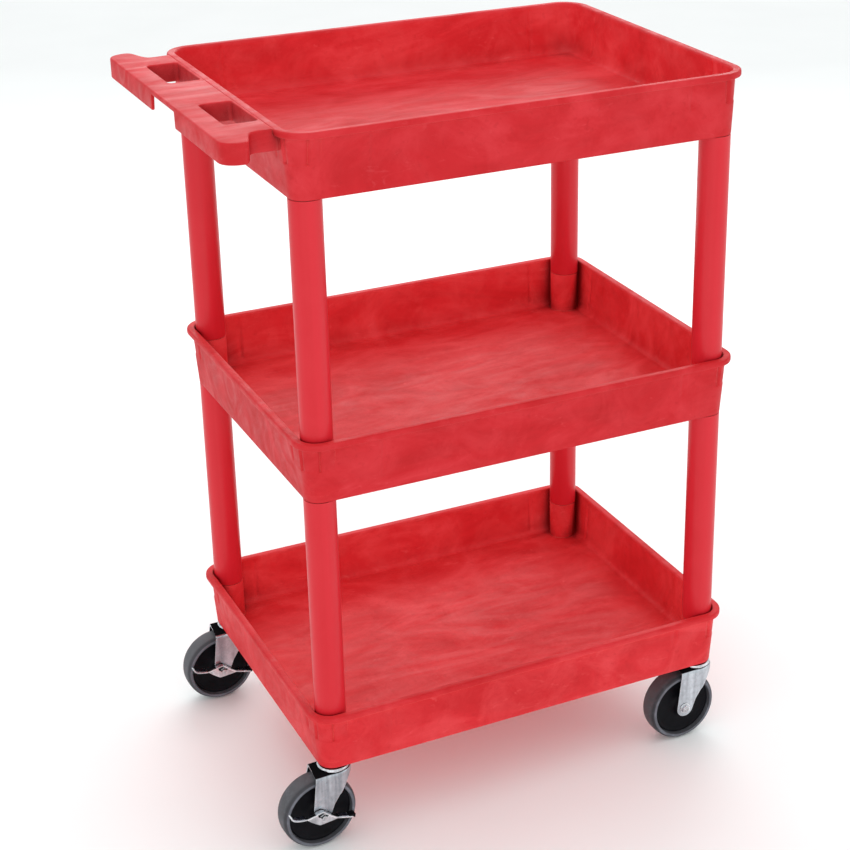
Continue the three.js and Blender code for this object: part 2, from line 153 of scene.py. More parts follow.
class Nodes:
    """A short way to build a material's nodes."""

    def __init__(self, name):
        self.material = bpy.data.materials.new(name)
        self.material.use_nodes = True
        self.tree = self.material.node_tree
        self.shader = self.tree.nodes["Principled BSDF"]
        self.where = self.new("ShaderNodeTexCoord").outputs["Object"]

    def new(self, kind, **settings):
        node = self.tree.nodes.new(kind)
        for key, value in settings.items():
            setattr(node, key, value)
        return node

    def link(self, a, b):
        self.tree.links.new(a, b)

    def noise(self, scale, detail=4.0, rough=0.55, distort=0.0, stretch=None, seed=0.0):
        node = self.new("ShaderNodeTexNoise")
        node.inputs["Scale"].default_value = scale
        node.inputs["Detail"].default_value = detail
        node.inputs["Roughness"].default_value = rough
        node.inputs["Distortion"].default_value = distort
        place = self.new("ShaderNodeMapping")
        place.inputs["Location"].default_value = (seed, seed * 0.7, -seed)
        place.inputs["Scale"].default_value = stretch or (1, 1, 1)
        self.link(self.where, place.inputs["Vector"])
        self.link(place.outputs["Vector"], node.inputs["Vector"])
        return node.outputs["Fac"]

    def ramp(self, value, stops):
        node = self.new("ShaderNodeValToRGB")
        elements = node.color_ramp.elements
        while len(elements) < len(stops):
            elements.new(0.5)
        for element, (at, colour) in zip(elements, stops):
            element.position = at
            element.color = (*colour, 1.0) if len(colour) == 3 else colour
        self.link(value, node.inputs["Fac"])
        return node.outputs["Color"]

    def span(self, value, low, high, out_low, out_high):
        node = self.new("ShaderNodeMapRange")
        for key, number in zip(("From Min", "From Max", "To Min", "To Max"), (low, high, out_low, out_high)):
            node.inputs[key].default_value = number
        self.link(value, node.inputs["Value"])
        return node.outputs["Result"]

    def mix(self, factor, a, b, blend="MIX"):
        node = self.new("ShaderNodeMix", data_type="RGBA", blend_type=blend)
        for socket, value in ((0, factor), (6, a), (7, b)):
            if isinstance(value, (int, float)):
                node.inputs[socket].default_value = value
            elif isinstance(value, tuple):
                node.inputs[socket].default_value = (*value, 1.0)
            else:
                self.link(value, node.inputs[socket])
        return node.outputs[2]

    def times(self, a, b):
        node = self.new("ShaderNodeMath", operation="MULTIPLY")
        self.link(a, node.inputs[0])
        self.link(b, node.inputs[1])
        return node.outputs["Value"]

    def edge(self, radius):
        """1 near sharp edges, 0 on flats, from the difference of bevelled and plain normals."""
        bevel = self.new("ShaderNodeBevel", samples=4)
        bevel.inputs["Radius"].default_value = radius
        plain = self.new("ShaderNodeNewGeometry").outputs["Normal"]
        dot = self.new("ShaderNodeVectorMath", operation="DOT_PRODUCT")
        self.link(bevel.outputs["Normal"], dot.inputs[0])
        self.link(plain, dot.inputs[1])
        return self.span(dot.outputs["Value"], 0.80, 0.99, 1.0, 0.0)

    def recess(self, reach, closed=0.15, opened=0.62):
        """Towards 1 down in gaps and corners within the reach, 0 on open faces."""
        node = self.new("ShaderNodeAmbientOcclusion", samples=6)
        node.inputs["Distance"].default_value = reach
        return self.span(node.outputs["AO"], closed, opened, 1.0, 0.0)

    def bump(self, *layers):
        """Layers of (height socket, strength, distance in metres), one on the next."""
        normal = None
        for height, strength, distance in layers:
            node = self.new("ShaderNodeBump")
            node.inputs["Strength"].default_value = strength
            node.inputs["Distance"].default_value = distance
            self.link(height, node.inputs["Height"])
            if normal:
                self.link(normal, node.inputs["Normal"])
            normal = node.outputs["Normal"]
        self.link(normal, self.shader.inputs["Normal"])

    def finish(self, colour, rough, **constants):
        self.link(colour, self.shader.inputs["Base Color"])
        self.link(rough, self.shader.inputs["Roughness"])
        for key, value in constants.items():
            self.shader.inputs[key.replace("_", " ")].default_value = value
        return self.material


def tub_plastic():
    """Moulded structural plastic: faint swirls, flow marks in the sheen, fine grain and paler worn edges,
    with painted light and shade: enclosed insides brightened, and narrow recesses, the underside of the
    handle and creases darkened.
    """
    n = Nodes("tub_red")
    swirl = n.noise(5.0, 5.0, 0.62, 1.6, (1.0, 2.1, 2.0))
    cloud = n.noise(16.0, 6.0, 0.65, 0.8, seed=3.1)
    fleck = n.noise(110.0, 3.0, 0.6, 0.4, seed=7.7)
    flow = n.noise(9.0, 7.0, 0.6, 2.8, (0.6, 1.7, 1.7), seed=2.2)
    scuff = n.noise(38.0, 8.0, 0.7, 2.4, (0.5, 1.2, 1.2), seed=5.3)
    base = n.ramp(swirl, [
        (0.32, (0.475, 0.008, 0.012)), (0.52, (0.550, 0.012, 0.018)), (0.72, (0.635, 0.030, 0.040))])
    cloudy = n.mix(n.span(cloud, 0.42, 0.70, 0.0, 0.50), base, (0.650, 0.040, 0.050))
    flecked = n.mix(n.span(fleck, 0.58, 0.72, 0.0, 0.26), cloudy, (0.40, 0.006, 0.008))
    scuffed = n.mix(n.span(scuff, 0.60, 0.76, 0.0, 0.34), flecked, (0.74, 0.095, 0.110))
    worn = n.mix(n.edge(0.0014), scuffed, (0.72, 0.070, 0.070))
    # Painted fill light: faces closed in by the tubs around them within half a metre, such as the lower tubs'
    # insides, are brightened.
    enclosed_fill_light = n.mix(n.recess(0.5, 0.30, 0.86), worn, (1.45, 2.8, 2.3), "MULTIPLY")
    # Painted shade: narrow recesses, such as the handle's window wells, are darkened.
    deep = n.mix(n.recess(0.07, 0.22, 0.52), enclosed_fill_light, (0.09, 0.001, 0.002))
    side = n.new("ShaderNodeSeparateXYZ")
    n.link(n.where, side.inputs["Vector"])
    # Painted shade in the underside of the push handle.
    handle_end = (TUB_X - HALF_X) * MM
    under_handle = n.span(side.outputs["X"], handle_end + 0.006, handle_end + 0.009, 1.0, 0.0)
    under_handle_shade = n.times(under_handle, n.recess(0.09, 0.30, 0.80))
    shaded = n.mix(under_handle_shade, deep, (0.07, 0.001, 0.002))
    # Painted shade in creases, seams and under the lip.
    crease_shade = n.mix(n.recess(0.012, 0.15, 0.72), shaded, (0.26, 0.002, 0.003))
    rough = n.span(flow, 0.32, 0.70, 0.42, 0.68)
    grain = n.noise(900.0, 2.0, 0.5)
    n.bump((flow, 0.12, 0.0008), (cloud, 0.14, 0.0004), (grain, 0.20, 0.00012))
    return n.finish(crease_shade, rough, Specular_IOR_Level=0.19)


def post_plastic():
    """Smooth extruded tube: an even red with faint lengthwise draw lines, and painted shade in creases."""
    n = Nodes("post_red")
    streak = n.noise(60.0, 4.0, 0.6, 0.0, (1.0, 1.0, 0.02), seed=1.2)
    cloud = n.noise(14.0, 4.0, 0.6, 0.5, seed=2.3)
    scuff = n.noise(70.0, 6.0, 0.75, 1.2, (1.0, 1.0, 0.25), seed=4.4)
    base = n.ramp(streak, [(0.35, (0.60, 0.014, 0.024)), (0.65, (0.635, 0.018, 0.030))])
    cloudy = n.mix(n.span(cloud, 0.40, 0.75, 0.0, 0.35), base, (0.66, 0.026, 0.038))
    marked = n.mix(n.span(scuff, 0.66, 0.78, 0.0, 0.20), cloudy, (0.76, 0.09, 0.10))
    worn = n.mix(n.edge(0.0010), marked, (0.76, 0.09, 0.10))
    # Painted shade in creases and where the tube meets other parts.
    crease_shade = n.mix(n.recess(0.010), worn, (0.30, 0.002, 0.004))
    rough = n.span(scuff, 0.3, 0.75, 0.28, 0.42)
    grain = n.noise(700.0, 2.0, 0.5, 0.0, (1.0, 1.0, 0.1))
    n.bump((streak, 0.15, 0.0003), (grain, 0.12, 0.0001))
    return n.finish(crease_shade, rough, Specular_IOR_Level=0.28)


def zinc_plate(name, tint, low, high, dark_reflection_above=None):
    """Bright zinc plate: spangle, brushed streaks, stains, rubbed edges and painted shade in recesses.

    Above the height in the last argument, in metres, faces that look up are painted black, a painted dark
    reflection of the shaded underside above them.
    """
    n = Nodes(name)
    spangle = n.noise(140.0, 4.0, 0.6, 0.6)
    stain = n.noise(45.0, 6.0, 0.7, 1.0, seed=6.1)
    lines = n.noise(500.0, 3.0, 0.5, 0.0, (1.0, 1.0, 0.05), seed=2.0)
    dark = tuple(0.84 * c for c in tint)
    pale = tuple(min(1.0, 1.10 * c) for c in tint)
    base = n.ramp(spangle, [(0.35, dark), (0.55, tint), (0.75, pale)])
    stained = n.mix(n.span(stain, 0.60, 0.80, 0.0, 0.25), base, (0.26, 0.27, 0.30))
    brushed = n.noise(110.0, 3.0, 0.55, 0.0, (1.0, 1.0, 0.07), seed=4.6)
    streak = n.ramp(brushed, [(0.34, (0.70, 0.71, 0.73)), (0.66, (1.22, 1.22, 1.22))])
    streaked = n.mix(1.0, stained, streak, "MULTIPLY")
    # Painted shade in recesses.
    crease_shade = n.mix(n.recess(0.010, 0.20, 0.72), streaked, (0.03, 0.03, 0.035))
    rubbed = n.mix(n.edge(0.0012), crease_shade, (0.95, 0.96, 0.98))
    rough = n.span(stain, 0.3, 0.75, low, high)
    n.bump((lines, 0.10, 0.00008), (spangle, 0.10, 0.00012))
    if dark_reflection_above is None:
        return n.finish(rubbed, rough, Metallic=1.0)
    geometry = n.new("ShaderNodeNewGeometry")
    upward = n.new("ShaderNodeSeparateXYZ")
    n.link(geometry.outputs["Normal"], upward.inputs["Vector"])
    height = n.new("ShaderNodeSeparateXYZ")
    n.link(n.where, height.inputs["Vector"])
    # Painted dark reflection on the upward faces of the crown top, with the metal's sheen switched off there.
    level = n.span(height.outputs["Z"], dark_reflection_above - 0.0006, dark_reflection_above, 0.0, 1.0)
    facing = n.span(upward.outputs["Z"], 0.80, 0.93, 0.0, 1.0)
    dark_reflection_mask = n.times(level, facing)
    dark_reflection_painted = n.mix(dark_reflection_mask, rubbed, (0.006, 0.006, 0.007))
    n.link(n.span(dark_reflection_mask, 0.0, 1.0, 1.0, 0.0), n.shader.inputs["Metallic"])
    return n.finish(dark_reflection_painted, rough, Specular_IOR_Level=0.0)


def rubber():
    """Grey non-marking rubber: mottled tread; dark shoulders and paler streaked sides, painted shade and
    painted light set by which way the surface faces.
    """
    n = Nodes("tyre_grey")
    dust = n.noise(55.0, 7.0, 0.72, 0.8)
    cloud = n.noise(20.0, 4.0, 0.6, 0.4, seed=1.9)
    grit = n.noise(420.0, 4.0, 0.65, seed=3.0)
    base = n.ramp(cloud, [(0.32, (0.060, 0.062, 0.070)), (0.70, (0.100, 0.103, 0.115))])
    dusty = n.mix(n.span(dust, 0.50, 0.74, 0.0, 0.60), base, (0.180, 0.184, 0.205))
    # Painted shade on the shoulders and painted light on the sides, set by which way the surface faces.
    along = n.new("ShaderNodeSeparateXYZ")
    n.link(n.new("ShaderNodeTexCoord").outputs["Normal"], along.inputs["Vector"])
    sideways = n.new("ShaderNodeMath", operation="ABSOLUTE")
    n.link(along.outputs["Y"], sideways.inputs[0])
    facing_shade_and_light = n.ramp(sideways.outputs["Value"], [
        (0.16, (1.0, 1.0, 1.0)), (0.42, (0.45, 0.45, 0.47)),
        (0.72, (0.55, 0.55, 0.58)), (0.90, (1.45, 1.47, 1.55))])
    facing_shaded = n.mix(1.0, dusty, facing_shade_and_light, "MULTIPLY")
    worn = n.mix(n.edge(0.0012), facing_shaded, (0.26, 0.265, 0.29))
    rough = n.span(dust, 0.3, 0.7, 0.46, 0.70)
    n.bump((dust, 0.25, 0.0003), (grit, 0.35, 0.0001))
    return n.finish(worn, rough, Specular_IOR_Level=0.3)


def black_plastic():
    """Black moulded plastic: slightly cloudy with grey rubbed edges."""
    n = Nodes("wheel_black")
    cloud = n.noise(60.0, 5.0, 0.65, 0.8)
    grit = n.noise(600.0, 3.0, 0.6, seed=3.0)
    base = n.ramp(cloud, [(0.35, (0.002, 0.002, 0.003)), (0.72, (0.007, 0.007, 0.010))])
    worn = n.mix(n.edge(0.0008), base, (0.035, 0.035, 0.045))
    rough = n.span(cloud, 0.3, 0.7, 0.42, 0.58)
    n.bump((cloud, 0.15, 0.0003), (grit, 0.2, 0.00008))
    return n.finish(worn, rough, Specular_IOR_Level=0.09)


TUB_RED = tub_plastic()
POST_RED = post_plastic()
CROWN_Z = cad_box("fork_front_left")[1].z
ZINC = zinc_plate("zinc_bright", (0.66, 0.68, 0.71), 0.14, 0.30)
# The fork's crown top carries a painted dark reflection above this height.
FORK_ZINC = zinc_plate("zinc_fork", (0.50, 0.54, 0.58), 0.16, 0.32, (CROWN_Z - 1.9) * MM)
BLUE_ZINC = zinc_plate("zinc_blue", (0.13, 0.14, 0.26), 0.20, 0.40)
STEEL = zinc_plate("steel_plain", (0.50, 0.51, 0.53), 0.28, 0.48)
RUBBER = rubber()
BLACK = black_plastic()


# ---------------------------------------------------------------- tubs

LIP = {"over": 6.5, "height": 8.0}
RIM_CORNER = {"top_tub": 38.0, "middle_tub": 32.0, "bottom_tub": 32.0}
WALL = 4.5
DRAFT = 5.5
TUB_HEIGHT = 82.0
TUB_DEPTH = 70.0
TUB_FLOOR = 4.0
FOOT_CORNER = 20.0
INNER_FILLET = 7.0
ARC_STEPS = 26
FLOOR_SHARES = (0.94, 0.8, 0.55, 0.25)

# Heights below the rim where the walls have points: close together where the corner seats end.
OUTER_LEVELS = (
    -80.2, -76, -68, -60, -52, -46, -43, -41.6, -40.6, -39.6, -38.4, -36, -32, -27, -21, -16, -12.5, -10.2,
)
INNER_LEVELS = (-3, -5, -8, -14, -22, -32, -42, -52, -58, -63)

# The rolled lip from its lower edge over to the inside: (inset from the rim's outline, height).
LIP_SECTION = (
    (1.5, -8.0), (0.45, -7.5), (0.0, -6.4), (0.0, -2.6), (0.35, -1.2), (1.1, -0.35),
    (2.2, 0.0), (5.2, -0.25), (8.2, -0.05), (9.6, -0.5), (10.6, -1.5),
)
FLAT_END = 262.0
FLAT_END_SIDE = HALF_Y - (HALF_X - FLAT_END)

# Moulding steps in the long and the end walls: (place along the wall, half width, depth, how far down).
LONG_WALL_STEPS = ((-259.0, 4.5, 1.9, 38.0), (-197.0, 5.0, 1.2, 58.0), (224.0, 5.0, 1.8, 44.0))
END_WALL_STEPS = ((-176.0, 5.0, 1.6, 40.0), (176.0, 5.0, 1.6, 40.0))
INNER_STEPS = ((-226.0, 4.5, 1.7), (226.0, 4.5, 1.7))
INNER_STEPS_SIDE = ((-152.0, 4.5, 1.5), (152.0, 4.5, 1.5))


def wall_places(end, steps):
    """Where along a wall the mesh has points: close together across each step."""
    places = {-end, end, 0.0}
    places |= {k * end / 6 for k in range(-6, 7)}
    for centre, half, *_ in steps:
        places |= {centre + half * f for f in (-1.6, -1.0, -0.7, -0.4, 0.0, 0.4, 0.7, 1.0, 1.6)}
    ordered = sorted(p for p in places if -end <= p <= end)
    return [p for p, q in zip(ordered, ordered[1:] + [end + 9]) if q - p > 0.7]


LONG_PLACES = wall_places(FLAT_END, LONG_WALL_STEPS + INNER_STEPS)
SIDE_PLACES = wall_places(FLAT_END_SIDE, END_WALL_STEPS + INNER_STEPS_SIDE)


def perimeter(half_x, half_y, corner):
    """Stations round a rounded rectangle: (x, y, normal, which wall, place along it or corner angle)."""
    corner = max(corner, 1.0)
    flat_x, flat_y = half_x - corner, half_y - corner
    long_back, side_back = LONG_PLACES[::-1], SIDE_PLACES[::-1]
    walls = (
        ("front", [(p, -half_y) for p in LONG_PLACES], (0, -1), LONG_PLACES, (flat_x, -flat_y), -90),
        ("right", [(half_x, p) for p in SIDE_PLACES], (1, 0), SIDE_PLACES, (flat_x, flat_y), 0),
        ("back", [(p, half_y) for p in long_back], (0, 1), long_back, (-flat_x, flat_y), 90),
        ("left", [(-half_x, p) for p in side_back], (-1, 0), side_back, (-flat_x, -flat_y), 180),
    )
    stations = []
    for name, points, normal, places, (cx, cy), start in walls:
        for (x, y), place in zip(points, places):
            stations.append((x, y, normal, name, place))
        for k in range(ARC_STEPS + 1):
            degrees = 90 * k / ARC_STEPS
            t = math.radians(start + degrees)
            n = (math.cos(t), math.sin(t))
            stations.append((cx + corner * n[0], cy + corner * n[1], n, "corner", degrees))
    return stations


def dip(distance, half):
    """1 in the middle of a step, falling to 0 at its half width."""
    return 1 - ease(abs(distance) / half)


def outer_relief(name, place, z):
    """How far the outside of a wall is set in at a place, for the moulding steps and the corner seats."""
    if z > -LIP["height"] - 0.5:
        return 0.0
    steps = LONG_WALL_STEPS if name in ("front", "back") else END_WALL_STEPS
    if name == "corner":
        grooves = 3.0 * (dip(place - 14, 9) + dip(place - 76, 9))
        return (0.6 + grooves) * ease((41.0 + z) / 2.5)
    depth = 0.0
    for centre, half, deep, down in steps:
        depth += deep * dip(place - centre, half) * ease((down + z) / 6.0)
    return depth


def inner_relief(name, place, z):
    """How far the inside of a wall is set back at a place."""
    steps = INNER_STEPS if name in ("front", "back") else INNER_STEPS_SIDE
    if name == "corner" or z > -2.5:
        return 0.0
    return sum(deep * dip(place - centre, half) for centre, half, deep in steps) * ease((-2.5 - z) / 4)


def wall_at(z, rim_corner):
    """Inset and corner radius of the outside of the wall at a height."""
    t = min(max((-z - LIP["height"]) / (TUB_HEIGHT - LIP["height"]), 0.0), 1.0)
    top_corner = rim_corner - LIP["over"]
    return LIP["over"] + DRAFT * t, top_corner + (FOOT_CORNER - top_corner) * t


def tub_section(rim_corner):
    """The tub's section from the middle of its underside, round the foot, lip and inside, to its floor."""
    foot_in = LIP["over"] + DRAFT + WALL
    section = [(foot_in + 2.5, 13.5, -TUB_DEPTH - TUB_FLOOR, None)]
    section += [(foot_in + 0.7, 15.0, -TUB_DEPTH - TUB_FLOOR - 0.8, None)]
    section += [(foot_in, 15.5, -TUB_DEPTH - TUB_FLOOR - 2.4, None)]
    section += [(foot_in, 15.5, -TUB_HEIGHT + 1.0, None), (foot_in - 0.9, 16.4, -TUB_HEIGHT, None)]
    section += [(foot_in - WALL + 1.6, 18.4, -TUB_HEIGHT, None)]
    section += [(foot_in - WALL + 0.5, 19.5, -TUB_HEIGHT + 0.5, None)]
    for z in OUTER_LEVELS:
        inset, corner = wall_at(z, rim_corner)
        section.append((inset, corner, z, "outer"))
    inset, corner = wall_at(-8.0, rim_corner)
    section += [(inset - 0.5, corner + 0.5, -8.6, None), (inset - 1.6, corner + 1.6, -8.1, None)]
    section += [(inset, rim_corner - inset, z, None) for inset, z in LIP_SECTION]
    for z in INNER_LEVELS:
        inset, corner = wall_at(z, rim_corner)
        section.append((inset + WALL, corner - WALL, z, "inner"))
    inset, corner = wall_at(-TUB_DEPTH, rim_corner)
    for k in range(1, 7):
        t = math.radians(90 * k / 6)
        reach = INNER_FILLET * (1 - math.cos(t))
        drop = INNER_FILLET * (1 - math.sin(t))
        section.append((inset + WALL + reach, corner - WALL - reach * 0.6, -TUB_DEPTH + drop, None))
    return section


def tub_shell(bm, rim_corner):
    """The tub's shell about its own centre, rim at z 0."""
    rings = []
    for inset, corner, z, side in tub_section(rim_corner):
        ring = []
        for x, y, normal, name, place in perimeter(HALF_X - inset, HALF_Y - inset, corner):
            relief = 0.0
            if side == "outer":
                relief = outer_relief(name, place, z)
            elif side == "inner":
                relief = -inner_relief(name, place, z)
            ring.append((x - normal[0] * relief, y - normal[1] * relief, z))
        rings.append(ring)
    under = [shrunk(rings[0], share) for share in FLOOR_SHARES]
    floor = [shrunk(rings[-1], share) for share in FLOOR_SHARES]
    rows = skin(bm, under[::-1] + rings + floor)
    bm.faces.new(rows[0][::-1])
    bm.faces.new(rows[-1])


def shrunk(ring, share):
    return [(x * share, y * share, z) for x, y, z in ring]


def seat_column(bm, x, y):
    """The corner column that carries a post, with the spigot that plugs into it."""
    floor, seat, spigot = -TUB_DEPTH, -POST_SEAT, 16.7
    profile = [(0, floor - 2), (20.4, floor - 2), (20.4, floor + 1.0), (20.1, floor + 2.4)]
    profile += [(20.0, floor + 5), (20.0, seat - 0.6), (19.5, seat), (spigot, seat)]
    profile += [(spigot, 11), (15.5, 12), (0, 12)]
    lathe(bm, profile, 48, Matrix.Translation((x, y, 0)))


def plug_below(bm, x, y):
    """The spigot under a tub's corner, inside the post below."""
    end = -TUB_HEIGHT - 28
    profile = [(0, end), (15.5, end), (16.7, end + 1.2), (16.7, -TUB_HEIGHT + 2), (0, -TUB_HEIGHT + 2)]
    lathe(bm, profile, 40, Matrix.Translation((x, y, 0)))


def foot_pad(bm, x, y):
    """The round pad under a corner, flush with the post below."""
    z = -TUB_HEIGHT
    profile = [(0, z + 9), (19.2, z + 9), (19.2, z + 0.5), (18.7, z), (0, z)]
    lathe(bm, profile, 48, Matrix.Translation((x, y, 0)))


def make_tub(name, seats, plugs):
    bm = bmesh.new()
    tub_shell(bm, RIM_CORNER[name])
    for sx in (-1, 1):
        for sy in (-1, 1):
            foot_pad(bm, sx * POST_X, sy * POST_Y)
            if seats:
                seat_column(bm, sx * POST_X, sy * POST_Y)
            if plugs:
                plug_below(bm, sx * POST_X, sy * POST_Y)
    if name == "top_tub":
        handle(bm)
    bm.transform(Matrix.Translation((TUB_X, 0, RIM[name])))
    return finish_piece("moulded_" + name, bm, TUB_RED, "cart_frame", [name], 40)


# ---------------------------------------------------------------- push handle

HANDLE = {
    "outer": HANDLE_END,
    "root": -HALF_X + 9.0,
    "deck": -0.7,
    "under": -5.4,
    "skirt": -26.0,
    "thick": 4.0,
    "waist": 191.0,
    "waist_x": -HALF_X - 22.0,
    "lobe": 226.5,
    "lobe_x": -HALF_X - 46.0,
    "round": 21.0,
    "gap": (-55.0, 36.0),
}
WINDOW = {"x": (-HALF_X - 41.5, -HALF_X - 1.5), "y": (55.0, 149.0), "corner": 5.0, "wall": 3.5}


def bezier(a, b, c, d, steps):
    """Points of a cubic curve, without its first point."""
    points = []
    for k in range(1, steps + 1):
        t = k / steps
        w = ((1 - t) ** 3, 3 * t * (1 - t) ** 2, 3 * t * t * (1 - t), t ** 3)
        points.append(tuple(sum(wi * p[i] for wi, p in zip(w, (a, b, c, d))) for i in (0, 1)))
    return points


def handle_outline():
    """The handle seen from above, from the root at +Y round the outer edge to the root at -Y."""
    h = HANDLE
    tangent = h["lobe"] - h["round"]
    side = [(h["root"], h["waist"]), (h["waist_x"] + 6, h["waist"])]
    start = (h["waist_x"], h["waist"])
    lobe = (h["lobe_x"], h["lobe"])
    side.append(start)
    side += bezier(start, (start[0] - 13, start[1]), (lobe[0] + 13, lobe[1]), lobe, 10)
    side += bezier(lobe, (lobe[0] - 13, lobe[1]), (h["outer"], lobe[1] - 7), (h["outer"], tangent), 10)
    edges = []
    for y in h["gap"]:
        edges += [y - 1.2, y - 0.4, y + 0.4, y + 1.2]
    places = sorted(set(edges) | {k * tangent / 8 for k in range(-7, 8)}, reverse=True)
    straight = [(h["outer"], y) for y in places]
    mirrored = [(x, -y) for x, y in reversed(side)]
    return side + straight + mirrored


def inward_normals(points):
    """Unit normals pointing into a closed outline that runs with its inside on the left."""
    normals = []
    count = len(points)
    for i in range(count):
        (ax, ay), (bx, by) = points[i - 1], points[(i + 1) % count]
        dx, dy = bx - ax, by - ay
        size = math.hypot(dx, dy) or 1.0
        normals.append((-dy / size, dx / size))
    return normals


def inset_ring(points, normals, inset, heights):
    return [(x + n[0] * inset, y + n[1] * inset, z) for (x, y), n, z in zip(points, normals, heights)]


def skirt_bottom(x, y):
    """How low the handle's skirt reaches, with the finger gap in its outer edge."""
    low, high = HANDLE["gap"]
    if x > HANDLE["outer"] + 2:
        return HANDLE["skirt"]
    open_share = ease((y - low) / 1.6 + 0.5) * ease((high - y) / 1.6 + 0.5)
    return HANDLE["skirt"] + (HANDLE["under"] - 0.9 - HANDLE["skirt"]) * open_share


def window_outline(side):
    (x0, x1), (y0, y1) = WINDOW["x"], WINDOW["y"]
    low, high = sorted((side * y0, side * y1))
    c = WINDOW["corner"]
    points = arc(x1 - c, low + c, c, -90, 0, 5) + arc(x1 - c, high - c, c, 0, 90, 5)
    return points + arc(x0 + c, high - c, c, 90, 180, 5) + arc(x0 + c, low + c, c, 180, 270, 5)


def fill_between(bm, loops):
    """Fills the flat region between closed loops of vertices."""
    edges = []
    for loop in loops:
        for a, b in zip(loop, loop[1:] + loop[:1]):
            edges.append(bm.edges.get((a, b)) or bm.edges.new((a, b)))
    bmesh.ops.triangle_fill(bm, use_beauty=True, use_dissolve=False, edges=edges)


def handle(bm):
    """The push handle: deck, skirt with a finger gap, and two windows with deep walls, closed all round."""
    deck, under = HANDLE["deck"], HANDLE["under"]
    outline = handle_outline()
    normals = inward_normals(outline)
    bottoms = [skirt_bottom(x, y) for x, y in outline]
    flat = lambda z: [z] * len(outline)
    raised = lambda dz: [b + dz for b in bottoms]
    wall = HANDLE["thick"]
    rows = skin(bm, [
        inset_ring(outline, normals, 2.4, flat(deck)),
        inset_ring(outline, normals, 1.1, flat(deck - 0.3)),
        inset_ring(outline, normals, 0.3, flat(deck - 1.1)),
        inset_ring(outline, normals, 0.0, flat(deck - 2.4)),
        inset_ring(outline, normals, 0.0, raised(1.2)),
        inset_ring(outline, normals, 0.5, raised(0.3)),
        inset_ring(outline, normals, 1.3, raised(0.0)),
        inset_ring(outline, normals, wall - 0.9, raised(0.0)),
        inset_ring(outline, normals, wall - 0.1, raised(0.8)),
        inset_ring(outline, normals, wall + 0.4, flat(under)),
    ])
    tops, wells = [rows[0]], [rows[-1]]
    for side in (-1, 1):
        ring = window_outline(side)
        outward = inward_normals(ring)
        low = [HANDLE["skirt"] + 1] * len(ring)
        at = lambda inset, z: inset_ring(ring, outward, inset, [z] * len(ring))
        well = skin(bm, [
            at(-1.8, deck),
            at(-0.8, deck - 0.25),
            at(-0.2, deck - 0.9),
            at(0.0, deck - 2.0),
            at(-0.4, low[0] + 0.8),
            at(-1.2, low[0]),
            at(-WINDOW["wall"] + 0.6, low[0]),
            at(-WINDOW["wall"], low[0] + 0.8),
            at(-WINDOW["wall"], under),
        ])
        tops.append(well[0])
        wells.append(well[-1])
    fill_between(bm, tops)
    fill_between(bm, wells)


# ---------------------------------------------------------------- posts

def make_post(node):
    low, high = cad_box(node)
    at = (low + high) / 2
    z0, z1 = low.z, high.z
    bm = bmesh.new()
    profile = [(17.2, z0 + 0.8), (17.8, z0), (19.4, z0), (20.0, z0 + 0.8)]
    profile += [(20.0, z0 + (z1 - z0) * k / 8) for k in range(1, 8)]
    profile += [(20.0, z1 - 0.8), (19.4, z1), (17.8, z1), (17.2, z1 - 0.8)]
    lathe(bm, profile, 64, Matrix.Translation((at.x, at.y, 0)))
    return finish_piece("tube_" + node, bm, POST_RED, "cart_frame", [node])


make_tub("top_tub", seats=False, plugs=True)
make_tub("middle_tub", seats=True, plugs=True)
make_tub("bottom_tub", seats=True, plugs=False)
for corner in CORNERS:
    make_post("lower_post_" + corner)
    make_post("upper_post_" + corner)


# ---------------------------------------------------------------- casters
#
# A caster is built in its own frame in mm: z 0 on the floor, the stem on the z axis, +X the way the
# wheel trails, +Y the outer side. caster_place gives the matrix that puts it under its corner.

WHEEL_R = (cad_box("tyre_front_left")[1].z - cad_box("tyre_front_left")[0].z) / 2
SHOULDER_Z = cad_box("stem_socket_front_left")[0].z
STEM_TOP = cad_box("kingpin_front_left")[1].z
AXLE_Z = WHEEL_R
CORE_R = 42.8


def joint(name):
    return next(j for j in frame["joints"] if j["name"] == name)


def caster_place(corner):
    """The caster's matrix, its trail and the turn of its fork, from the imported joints."""
    spin, swivel = joint("wheel_spin_" + corner), joint("swivel_" + corner)
    turn = math.atan2(-spin["axis"][0], spin["axis"][1])
    stem, axle = Vector(swivel["pos_m"]) / MM, Vector(spin["pos_m"]) / MM
    trail = (axle - stem).to_2d().length
    return Matrix.Translation((stem.x, stem.y, 0)) @ Matrix.Rotation(turn, 4, "Z"), trail


TRAIL = caster_place("front_left")[1]
ON_AXLE = Matrix.Translation((TRAIL, 0, AXLE_Z)) @ Matrix.Rotation(-math.pi / 2, 4, "X")


def make_tyre(corner, place):
    bm = bmesh.new()
    bore = CORE_R + 0.3
    half = [(bore, 9.6), (bore, 12.6), (bore + 0.2, 14.2), (bore + 0.9, 15.0), (bore + 2.0, 15.2)]
    half += [(WHEEL_R - 4.2, 15.2), (WHEEL_R - 3.4, 14.9), (WHEEL_R - 2.5, 13.9), (WHEEL_R - 1.6, 12.5)]
    half += [(WHEEL_R - 0.9, 10.8), (WHEEL_R - 0.4, 8.8), (WHEEL_R - 0.1, 6.6), (WHEEL_R, 4.0)]
    profile = [(r, -z) for r, z in half] + [(r, z) for r, z in reversed(half)]
    lathe(bm, profile, 96, ON_AXLE)
    bm.transform(place)
    finish_piece("tread_" + corner, bm, RUBBER, "wheel_" + corner, ["tyre_" + corner], 50)


